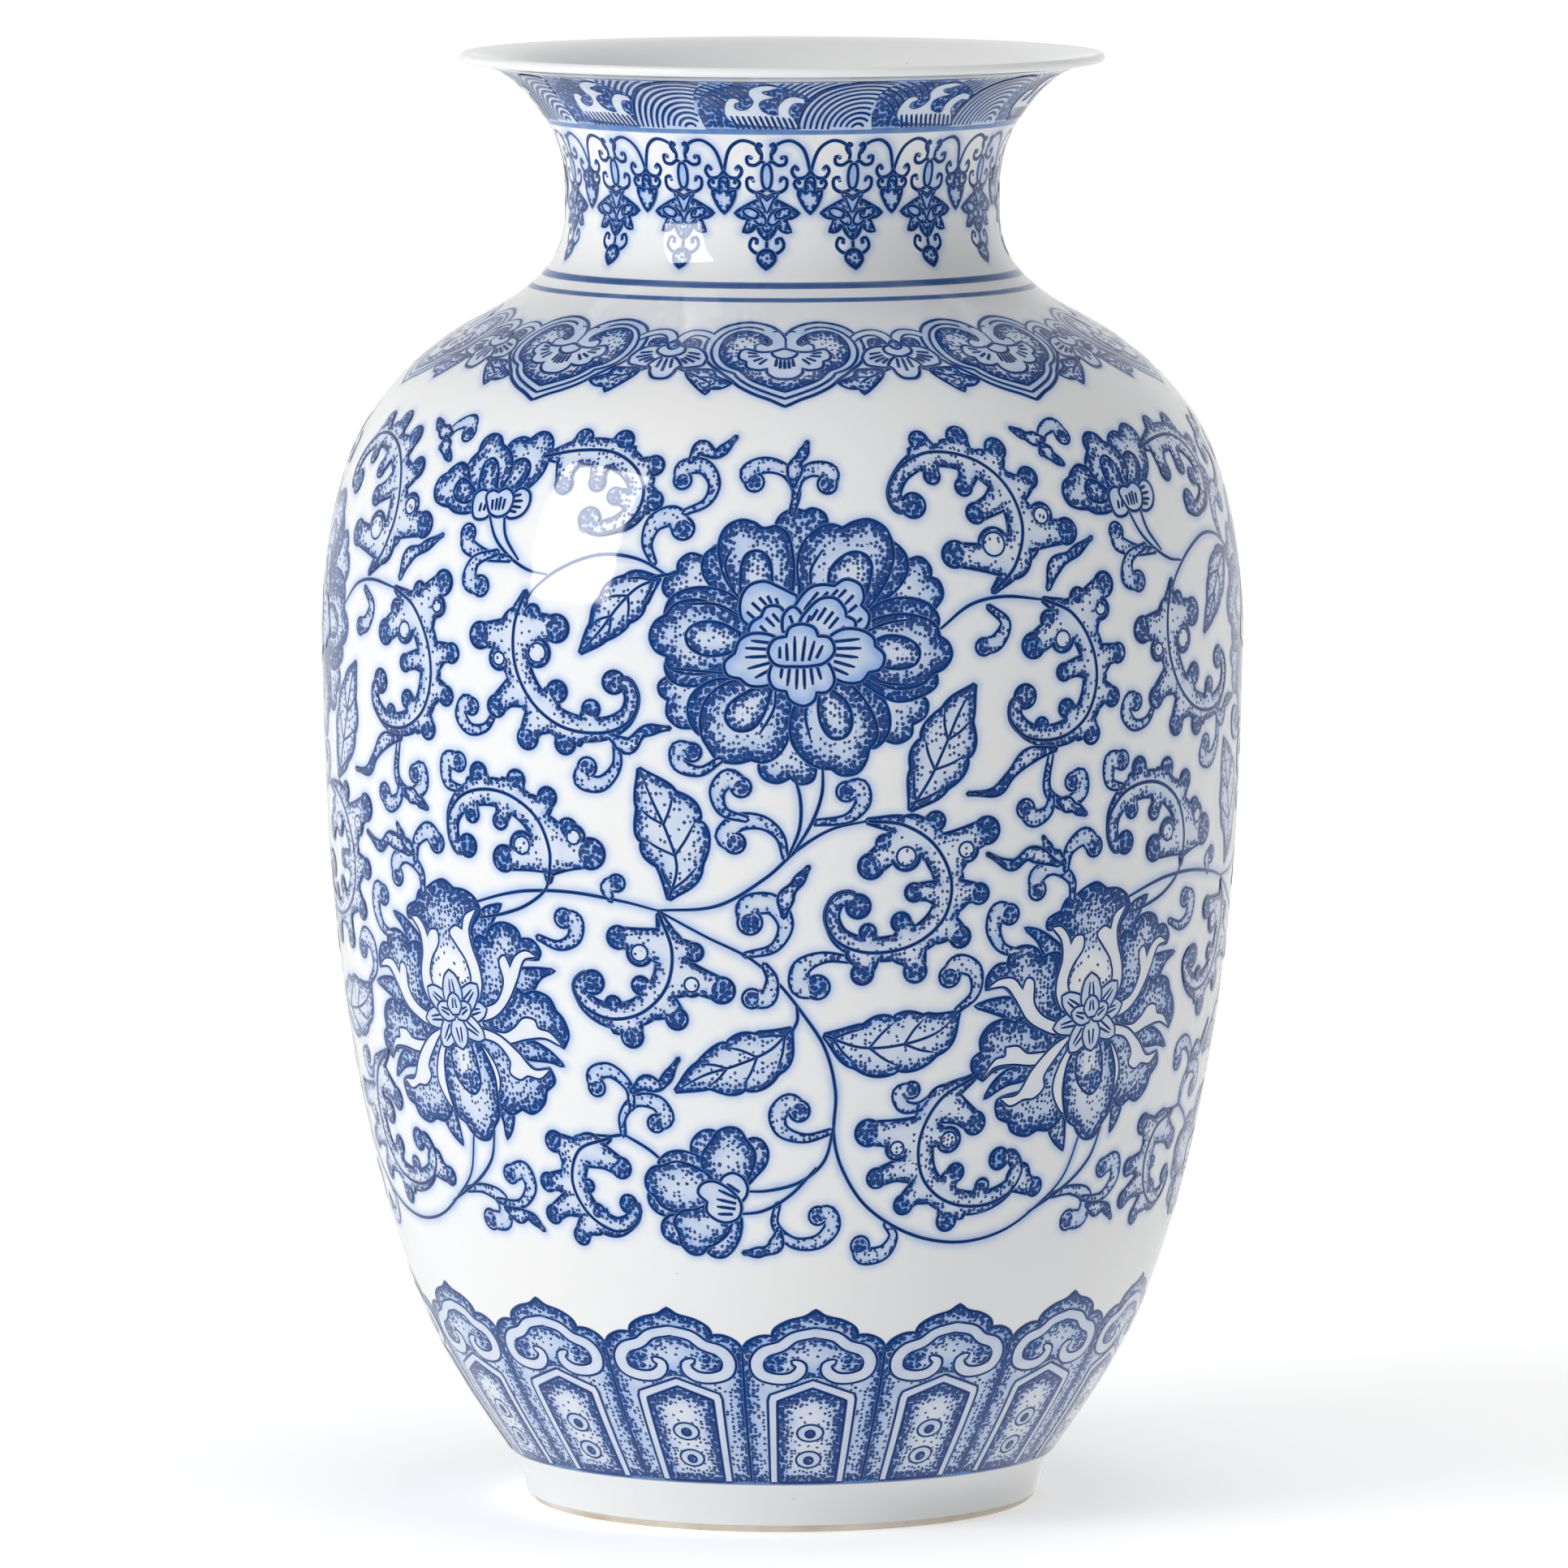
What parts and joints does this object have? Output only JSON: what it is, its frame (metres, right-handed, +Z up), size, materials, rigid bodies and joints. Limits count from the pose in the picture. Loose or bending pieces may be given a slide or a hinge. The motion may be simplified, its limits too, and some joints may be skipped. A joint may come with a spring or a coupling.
{
  "type": "vase",
  "caption": "Baluster porcelain vase with a high shoulder, short waisted neck, flared mouth and low foot ring, painted in underglaze blue.",
  "frame": {"origin": "centre of the foot ring's standing face", "axes": "+Z up along the axis of revolution, towards the mouth"},
  "size_m": [0.1652, 0.1652, 0.26],
  "materials": {
    "porcelain_clay": "unglazed white porcelain, dry and matt",
    "luting_slip": "the same clay, fired as a thin seam",
    "clear_glaze": "clear glossy glaze over white porcelain, painted in cobalt blue under the glaze",
    "cobalt_wash": "pale stippled cobalt wash under a glossy glaze",
    "cobalt_line": "dark cobalt brush line under a glossy glaze"
  },
  "bodies": {
    "root": {"base_and_foot_ring": "porcelain_clay", "lower_body": "porcelain_clay", "upper_body": "porcelain_clay", "neck_and_mouth": "porcelain_clay", "base_slip_seam": "luting_slip", "waist_slip_seam": "luting_slip", "neck_slip_seam": "luting_slip", "main_glaze": "clear_glaze", "recess_glaze": "clear_glaze"}
  },
  "joints": []
}
